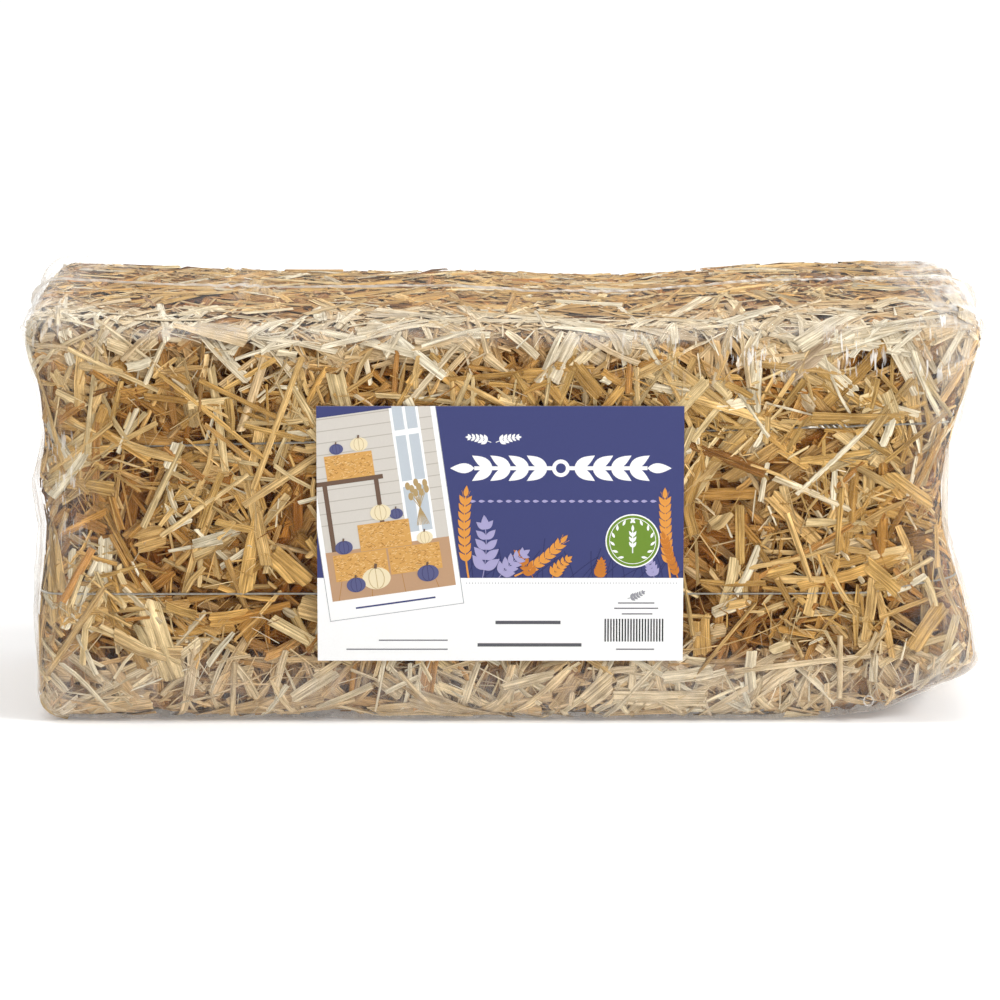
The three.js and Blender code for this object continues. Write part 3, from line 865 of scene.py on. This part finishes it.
# the label's print: everything is in mm from the label's top left corner, along and down
labelPrint = {
    "layer": 0.035 * mm,
    "shapeStep": 0.003 * mm,  # shapes of one layer that overlap still lie on each other
    "shapeSteps": 11,
    "sunk": 0.02 * mm,
    "inks": {
        "white": "#FCFCFB", "navy": "#3E4376", "deepNavy": "#303362", "lilac": "#A9A3CC",
        "orange": "#E39A45", "amber": "#C97B2E", "green": "#6F8F2F", "grey": "#5B5B60",
        "paleGrey": "#9A9AA0", "black": "#26262A", "wall": "#D5CFC6", "wallLine": "#B9B1A6",
        "ground": "#C09A78", "bench": "#6E5646", "gold": "#D9A55C", "goldLight": "#EBC88C",
        "goldDark": "#B07A38", "cream": "#EFE0BC", "creamLine": "#CDB686", "slate": "#5A5C86",
        "slateLine": "#42446C", "glass": "#C3CBD2", "twig": "#B59A6A",
    },
    "band": {"down": 90.6},
    "card": {"corner": (6.9, 113.5), "tilt": 8, "width": 70, "height": 107, "margin": 2.5, "foot": 10,
             "clip": (191, 114)},  # the card's outline stops where the card leaves the label
    "gourds": {"pale": ("cream", "creamLine"), "dark": ("slate", "slateLine")},
    "seal": {"centre": (164.5, 71), "radius": 14.2},
    "bars": {"left": 150, "right": 181, "top": 112.3, "bottom": 124.4, "pitch": 1.5},
}
printShapes = []  # outline, ink and layer of every printed shape


def clipped(outline, low, high):
    # what is left of an outline inside a box
    for axis in (0, 1):
        for edge, sign in ((low[axis], 1), (high[axis], -1)):
            kept = []
            for one, other in zip(outline, outline[1:] + outline[:1]):
                a, b = sign * (one[axis] - edge), sign * (other[axis] - edge)
                if a >= 0:
                    kept.append(one)
                if (a >= 0) != (b >= 0):
                    share = a / (a - b)
                    kept.append(tuple(p + (q - p) * share for p, q in zip(one, other)))
            outline = kept
            if len(outline) < 3:
                return []
    return outline


def printShape(outline, ink, layer, place=None, low=(0, 0), high=None):
    # place is for shapes drawn on the tilted card; low and high are the box that cuts them off
    outline = [place(*point) if place else point for point in outline]
    high = high or tuple((labelHigh - labelLow)[[0, 2]] / mm)
    outline = clipped([tuple(float(n) for n in point) for point in outline], low, high)
    if outline:
        printShapes.append((outline, ink, layer))


def printBox(left, top, right, bottom, ink, layer, **where):
    printShape([(left, top), (right, top), (right, bottom), (left, bottom)], ink, layer, **where)


def printDisc(x, y, radius, ink, layer, flat=1.0, steps=40, **where):
    turns = np.linspace(0, 2 * math.pi, steps, endpoint=False)
    outline = [(x + radius * math.cos(t), y + radius * flat * math.sin(t)) for t in turns]
    printShape(outline, ink, layer, **where)


def printLeaf(x, y, length, width, angle, ink, layer, **where):
    # a pointed leaf or grain that starts at x, y; angle 0 points right and 90 up
    sides = [(s * length, width / 2 * math.sin(math.pi * s ** 0.8)) for s in np.linspace(0, 1, 9)]
    sides += [(a, -b) for a, b in sides[-2:0:-1]]
    turn = math.radians(angle)
    outline = [(x + a * math.cos(turn) + b * math.sin(turn), y - a * math.sin(turn) + b * math.cos(turn))
               for a, b in sides]
    printShape(outline, ink, layer, **where)


def printStroke(way, width, ink, layer, **where):
    # a line of even width through the points of a way
    way = [np.array(p, float) for p in way]
    left, right = [], []
    for i, p in enumerate(way):
        heading = unit(way[min(i + 1, len(way) - 1)] - way[max(i - 1, 0)])
        side = np.array([-heading[1], heading[0]]) * width / 2
        left.append(tuple(p + side))
        right.append(tuple(p - side))
    for i in range(len(way) - 1):
        printShape([left[i], left[i + 1], right[i + 1], right[i]], ink, layer, **where)


def bentWay(x, y, length, angle, bend, steps=8):
    # points along a stalk that starts at x, y and bends evenly
    way = [(x, y)]
    for i in range(steps):
        turn = math.radians(angle + bend * i / steps)
        x, y = x + length / steps * math.cos(turn), y - length / steps * math.sin(turn)
        way.append((x, y))
    return way


def printEar(x, y, stalk, ear, angle, bend, grain, ink, layer, awns=0.0, **where):
    # a stalk with a wheat ear on its upper end
    way = bentWay(x, y, stalk + ear, angle, bend, 14)
    printStroke(way, grain * 0.16, ink, layer, **where)
    rows = max(int(ear / (grain * 0.62)), 2)
    for row in range(rows):
        along = (stalk + ear * row / rows) / (stalk + ear) * (len(way) - 1)
        i = min(int(along), len(way) - 2)
        px, py = np.array(way[i]) + (np.array(way[i + 1]) - way[i]) * (along - i)
        heading = angle + bend * along / (len(way) - 1)
        for side in (-1, 1):
            printLeaf(px, py, grain, grain * 0.42, heading + side * 32, ink, layer + 1, **where)
            if awns:
                tip = bentWay(px, py, awns, heading + side * 14, side * 6, 3)
                printStroke(tip, 0.16, ink, layer, **where)
    printLeaf(way[-1][0], way[-1][1], grain, grain * 0.42, angle + bend, ink, layer + 1, **where)


def printSprig(x, y, length, angle, bend, leaf, ink, layer, **where):
    # a stalk with rounder leaves in pairs
    way = bentWay(x, y, length, angle, bend, 10)
    printStroke(way, 0.35, ink, layer, **where)
    for i in range(2, 11, 2):
        heading = angle + bend * i / 10
        size = leaf * (1.15 - 0.05 * i)
        for side in (-1, 1):
            printLeaf(*way[i], size, size * 0.5, heading + side * 46, ink, layer + 1, **where)
    printLeaf(*way[-1], leaf * 0.8, leaf * 0.4, angle + bend, ink, layer + 1, **where)


def cardPlace(a, b):
    # from along and up on the tilted card to along and down on the label
    card = labelPrint["card"]
    turn = math.radians(card["tilt"])
    x, y = card["corner"]
    return x + a * math.cos(turn) - b * math.sin(turn), y - a * math.sin(turn) - b * math.cos(turn)


onCard = {"place": cardPlace}


def printGourd(a, b, size, kind, layer):
    ink, lineInk = labelPrint["gourds"][kind]
    printDisc(a, b, size, ink, layer, 0.78, 28, **onCard)
    turns = np.linspace(-1.4, 1.4, 7)
    for shift in (-0.55, 0, 0.55):
        rib = [(a + size * shift * math.cos(t), b + size * 0.76 * math.sin(t)) for t in turns]
        printStroke(rib, size * 0.06, lineInk, layer + 1, **onCard)
    stalk = [(a, b + size * 0.7), (a + size * 0.1, b + size * 1.05)]
    printStroke(stalk, size * 0.2, "bench", layer + 1, **onCard)


def printStrawBlock(left, low, width, height, layer):
    printBox(left, low, left + width, low + height, "gold", layer, **onCard)
    for _ in range(int(width * height * 0.55)):
        a, b = left + draw.uniform(0.6, width - 0.6), low + draw.uniform(0.5, height - 0.5)
        reach, turn = draw.uniform(0.6, 1.5), draw.uniform(-0.6, 0.6)
        step = np.array([math.cos(turn), math.sin(turn)]) * reach / 2
        ink = ("goldLight", "goldDark")[int(draw.integers(2))]
        way = [np.clip((a, b) + s * step, (left, low), (left + width, low + height)) for s in (-1, 1)]
        printStroke(way, 0.28, ink, layer + 1, **onCard)


def printCard():
    # a bordered card with a plain still life of straw blocks and gourds
    card = labelPrint["card"]
    width, height, margin, foot = card["width"], card["height"], card["margin"], card["foot"]
    left, right = margin, width - margin
    printBox(-0.3, -0.35, width + 0.35, height, "paleGrey", 1, high=card["clip"], **onCard)
    printBox(0, 0, width, height, "white", 2, **onCard)
    printBox(left, foot, right, height, "wall", 3, **onCard)
    for b in np.arange(foot + 40, height, 6.2):
        printBox(left, b, right, b + 0.45, "wallLine", 4, **onCard)
    printBox(left, foot, right, foot + 26, "ground", 4, **onCard)
    for a in np.arange(left + 11, right - 3, 13):
        printStroke([(a, foot + 26), (a + (a - 35) * 0.35, foot)], 0.3, "goldDark", 5, **onCard)
    printBox(46, foot + 26, 61, height, "white", 5, **onCard)
    for low in (foot + 31, foot + 58, foot + 85):
        for a in (47.5, 54.4):
            printBox(a, low, a + 5.3, low + 24, "glass", 6, **onCard)
    printBox(left, foot + 61, 38, foot + 63.4, "bench", 5, **onCard)
    for a in (6, 33):
        printBox(a, foot + 26, a + 2.4, foot + 61, "bench", 5, **onCard)
    for a, b, *block in ((9, 63.4, 25, 13, 6), (6, 10, 28, 14, 7), (35, 10, 27, 14, 7),
                         (21, 24.3, 27, 14, 8)):
        printStrawBlock(a, foot + b, *block)
    for a, b, size, kind in ((28, 80.5, 4.6, "pale"), (16, 79.5, 3.6, "dark"), (34, 43.4, 5.4, "pale"),
                             (42, 41.6, 3.6, "dark"), (12.5, 27.6, 4.6, "dark"), (27, 9.2, 7.4, "pale"),
                             (16, 7.2, 5.0, "dark"), (54, 8.2, 5.6, "dark"), (55, 27.2, 4.2, "pale")):
        printGourd(a, b + foot, size, kind, 9)
    for i in range(9):
        way = bentWay(52 + i * 0.8, -(foot + 34), 20 + 3 * math.sin(i * 2.1), 76 + i * 4, (i - 4) * 5, 5)
        printStroke([(a, -b) for a, b in way], 0.35, "twig", 7, **onCard)
        printDisc(way[-1][0], -way[-1][1], 1.3, "twig", 7, 1.6, 12, **onCard)
    printBox(14, 4.5, 56, 5.4, "navy", 3, **onCard)


def printBand():
    # the coloured band, its ornament in place of a title, and the plants along its foot
    width, foot = float((labelHigh - labelLow)[0] / mm), labelPrint["band"]["down"]
    inBand = {"high": (width, foot)}
    printBox(0, 0, width, foot, "navy", 0)
    for i in range(35):
        length, angle = 13 + 9 * math.sin(i * 1.7) ** 2, 70 + 34 * math.sin(i * 2.3)
        blade = bentWay(78 + 3.3 * i, foot + 1, length, angle, 20 * math.sin(i * 3.1))
        printStroke(blade, 0.5, "deepNavy", 1, **inBand)
    for side, angle in ((-1, 180), (1, 0)):
        printEar(127 + side * 4, 32.6, 3, 38, angle, 0, 12.6, "white", 2, **inBand)
    printDisc(127, 32.6, 4.6, "white", 4, **inBand)
    printDisc(127, 32.6, 2.6, "navy", 5, **inBand)
    for side, angle in ((-1, 158), (1, 22)):
        printSprig(92 + side * 1.2, 19, 11, angle, -side * 18, 3.6, "white", 2, **inBand)
    for x in np.arange(79.5, 174, 4.7):
        printLeaf(x, 50, 3.4, 1.5, 0, "lilac", 2, **inBand)
    for x, down, *ear in (
            (79.5, 3, 12, 34, 100, -16, 6.2, "orange", 3, 8), (103, -1, 8, 22, 24, 26, 5.6, "orange", 3, 8),
            (184.5, 2, 10, 34, 98, -8, 6.0, "orange", 3, 8), (189, 2, 4, 20, 112, -6, 4.6, "amber", 5, 5)):
        printEar(x, foot + down, *ear, **inBand)
    for x, *sprig in (
            (86, 27, 78, 18, 9.5, "lilac", 5), (94, 18, 56, -22, 7.0, "lilac", 7),
            (113, 15, 112, 20, 5.2, "amber", 5), (122, 13, 66, -30, 5.0, "orange", 7),
            (146, 9, 66, 22, 4.6, "amber", 5), (176, 11, 100, 16, 4.8, "lilac", 1)):
        printSprig(x, foot + 1, *sprig, **inBand)


def printSeal():
    # a round seal with a ring and a sprig, and nothing written on it
    (x, y), radius = labelPrint["seal"]["centre"], labelPrint["seal"]["radius"]
    printDisc(x, y, radius, "white", 5)
    printDisc(x, y, radius - 0.7, "green", 6, steps=56)
    printDisc(x, y, radius - 2.0, "white", 7, steps=56)
    printDisc(x, y, radius - 2.35, "green", 8, steps=56)
    for side in (-1, 1):
        for i in range(7):
            turn = math.radians(-62 + 24 * i)
            place = (x + side * (radius - 4.6) * math.cos(turn), y - (radius - 4.6) * math.sin(turn))
            heading = math.degrees(turn) + 55
            printLeaf(*place, 3.4, 1.3, heading if side > 0 else 180 - heading, "white", 9)
    printEar(x, y + 6.4, 3, 8.5, 90, 0, 3.6, "white", 9)


def printFoot():
    # the white strip: a dotted rule, plain lines and a row of even bars
    width, height = (float(n) for n in (labelHigh - labelLow)[[0, 2]] / mm)
    printBox(0, labelPrint["band"]["down"], width, height, "white", 0)
    for x in np.arange(78, width - 2, 1.5):
        printDisc(x, 93.3, 0.28, "paleGrey", 1, steps=8)
    for left, right, middle in ((93, 127, 114.25), (83.6, 138, 126.2)):
        printBox(left, middle - 0.9, right, middle + 0.9, "grey", 1)
    for left, right, top in ((32, 68, 123.4), (15, 68, 128.2), (157, 176, 103.6), (155, 178, 106.4),
                             (159, 175, 109.4), (156, 176, 128.2)):
        printBox(left, top, right, top + 0.6, "grey", 1)
    printSprig(162, 101.5, 8, 12, 20, 2.8, "paleGrey", 1)
    bars = labelPrint["bars"]
    for x in np.arange(bars["left"], bars["right"], bars["pitch"]):
        printBox(x, bars["top"], x + bars["pitch"] / 2, bars["bottom"], "black", 1)


def paperMaterial(name, inkAttribute=None):
    material, tree = newMaterial(name)
    place = objectPlace(tree)
    fibre, wave = noiseAt(tree, place, 900.0, 3.0), noiseAt(tree, place, 28.0, 2.0)
    ink = attributeOf(tree, inkAttribute, "Color") if inkAttribute else linear(labelPrint["inks"]["white"])
    colour = addNode(tree, "VectorMath", {"operation": "SCALE"}, at0=ink,
                     Scale=ranged(tree, fibre, 0.3, 0.7, 0.98, 1.01))
    setSurface(tree, "BsdfPrincipled", Base_Color=colour.outputs[0], Specular_IOR_Level=0.25,
               Roughness=ranged(tree, fibre, 0.0, 1.0, 0.30, 0.46),
               Normal=bumpOf(tree, maths(tree, "MULTIPLY_ADD", wave, 9.0, fibre), 0.12, 0.12 * mm))
    return material


def makeLabel():
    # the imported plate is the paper, and each printed shape is a thin closed layer on its face
    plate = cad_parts["label"]
    plate.data.materials.clear()
    plate.data.materials.append(paperMaterial("label paper"))
    printBand()
    printFoot()
    printCard()
    printSeal()
    points, inks, triangles = [], [], []
    for number, (outline, ink, layer) in enumerate(printShapes):
        count, first = len(outline), len(points)
        step = labelPrint["shapeStep"] * (number % labelPrint["shapeSteps"])
        for y in (labelLow[1] - labelPrint["layer"] * (layer + 1) - step, labelLow[1] + labelPrint["sunk"]):
            points += [(labelLow[0] + x * mm, y, labelHigh[2] - down * mm) for x, down in outline]
        inks += [linear(labelPrint["inks"][ink])] * (2 * count)
        for a, b, c in tessellate_polygon([[Vector((x, -down, 0)) for x, down in outline]]):
            one, two, three = (np.array(outline[n]) for n in (a, b, c))
            a, b, c = (a, b, c) if np.cross(two - one, three - one) > 0 else (a, c, b)
            triangles.append((first + a, first + c, first + b))
            triangles.append((first + count + a, first + count + b, first + count + c))
        size = sum(p[0] * q[1] - q[0] * p[1] for p, q in zip(outline, outline[1:] + outline[:1]))
        for i in range(count):
            a, b = first + i, first + (i + 1) % count
            a, b = (a, b) if size > 0 else (b, a)
            triangles += [(a, b, b + count), (a, b + count, a + count)]
    printed = paperMaterial("printed ink", "inkColour")
    piece = addMesh("label_print", points, [np.array(triangles)], printed)
    addColours(piece, "inkColour", np.array(inks))
    print(f"label_print: {len(printShapes)} shapes, {len(triangles)} triangles")


stage = {
    "floorTone": (0.86, 0.86, 0.86, 1),
    "floorGlow": (0.25, 1.1, 0.2, 0.5),  # two distances from the bale's middle, and the glow at each
    "skyByHeight": (0.05, 0.6, 0.6, 0.82),  # two heights in the dome, and its strength at each
    "skyFromFront": (-0.9, 0.1, 0.35, 1.0),
    "lampAim": (0, 0, 0.1),
}
view = {
    "distance": 2.3266,
    "elevation": 9.5,
    "lens": 160.9,
    "aim": (-0.0013, float(blockLow[1]), 0.1191),
}
lamps = [
    {"name": "overhead", "place": (0.0, -0.25, 1.35), "size": (1.4, 0.22), "power": 4.8},
    {"name": "front_right", "place": (2.0, -1.15, 1.5), "size": (0.6, 0.6), "power": 44},
    {"name": "back_left", "place": (-1.1, 1.9, 1.3), "size": (1.4, 1.2), "power": 12},
]


def pointAt(thing, aim):
    direction = Vector(aim) - thing.location
    thing.rotation_euler = direction.to_track_quat("-Z", "Y").to_euler()


def addLamp(lamp):
    light = bpy.data.lights.new(lamp["name"], "AREA")
    light.shape = "RECTANGLE"
    light.size, light.size_y = lamp["size"]
    light.energy = lamp["power"]
    thing = bpy.data.objects.new(lamp["name"], light)
    thing.location = lamp["place"]
    bpy.context.scene.collection.objects.link(thing)
    pointAt(thing, stage["lampAim"])


def makeWorld():
    # a pale dome, dimmer at eye level and in front, so that the film doesn't turn milky
    world = bpy.data.worlds.new("white studio")
    world.use_nodes = True
    tree = world.node_tree
    place = addNode(tree, "TexCoord").outputs["Generated"]
    height = addNode(tree, "SeparateXYZ", Vector=place)
    glow = maths(tree, "MULTIPLY", ranged(tree, height.outputs["Z"], *stage["skyByHeight"]),
                 ranged(tree, height.outputs["Y"], *stage["skyFromFront"]))
    background = tree.nodes["Background"]
    background.inputs["Color"].default_value = (1, 1, 1, 1)
    tree.links.new(glow, background.inputs["Strength"])
    bpy.context.scene.world = world


def makeStage():
    # the floor glows a little less near the bale, so that its shadow shows
    material, tree = newMaterial("pale floor")
    away = addNode(tree, "VectorMath", {"operation": "LENGTH"}, at0=objectPlace(tree))
    setSurface(tree, "BsdfPrincipled", Base_Color=stage["floorTone"], Roughness=0.8,
               Specular_IOR_Level=0.0, Emission_Color=(1, 1, 1, 1),
               Emission_Strength=ranged(tree, away.outputs["Value"], *stage["floorGlow"]))
    bpy.ops.mesh.primitive_plane_add(size=60, location=(0, 0, 0))
    floor = bpy.context.object
    floor.name = "floor"
    floor.data.materials.append(material)
    makeWorld()
    bpy.context.scene.view_settings.view_transform = "Standard"
    for lamp in lamps:
        addLamp(lamp)
    print("floor and lights made")


def makeCamera():
    lens = bpy.data.cameras.new("camera")
    lens.lens = view["lens"]
    lens.sensor_width = 36
    camera = bpy.data.objects.new("camera", lens)
    rise = math.radians(view["elevation"])
    aim = Vector(view["aim"])
    camera.location = aim + Vector((0, -math.cos(rise), math.sin(rise))) * view["distance"]
    bpy.context.scene.collection.objects.link(camera)
    pointAt(camera, aim)
    bpy.context.scene.camera = camera


wireLines = {name: wireLine(name) for name in ("upper_tie_wire", "lower_tie_wire")}
hollowRipple = makeRipple(straw["hollow"]["size"])
paintedLightRipple = makeRipple(straw["pale"]["size"], 12, (2, 1, 1))
blockGuide = guideOf("straw_block", blockLow, blockHigh, 5 * mm, 3)
print("block guide made")
strawPieces = makeStraws(blockGuide)
core = makeCore(blockGuide)
for piece in strawPieces + [core]:
    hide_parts("straw_block")
finishWires()
filmGuide = guideOf("film_wrap", filmLow, filmHigh, film["spacing"], 3)
clearFilm = filmMaterial()
sheet, sheetTree = makeFilm(filmGuide, clearFilm)
seam = makeSeam(sheetTree, clearFilm)
rims = makeVentRim(sheetTree, clearFilm)
for piece in (sheet, seam, rims):
    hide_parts("film_wrap")
makeLabel()
makeStage()
makeCamera()
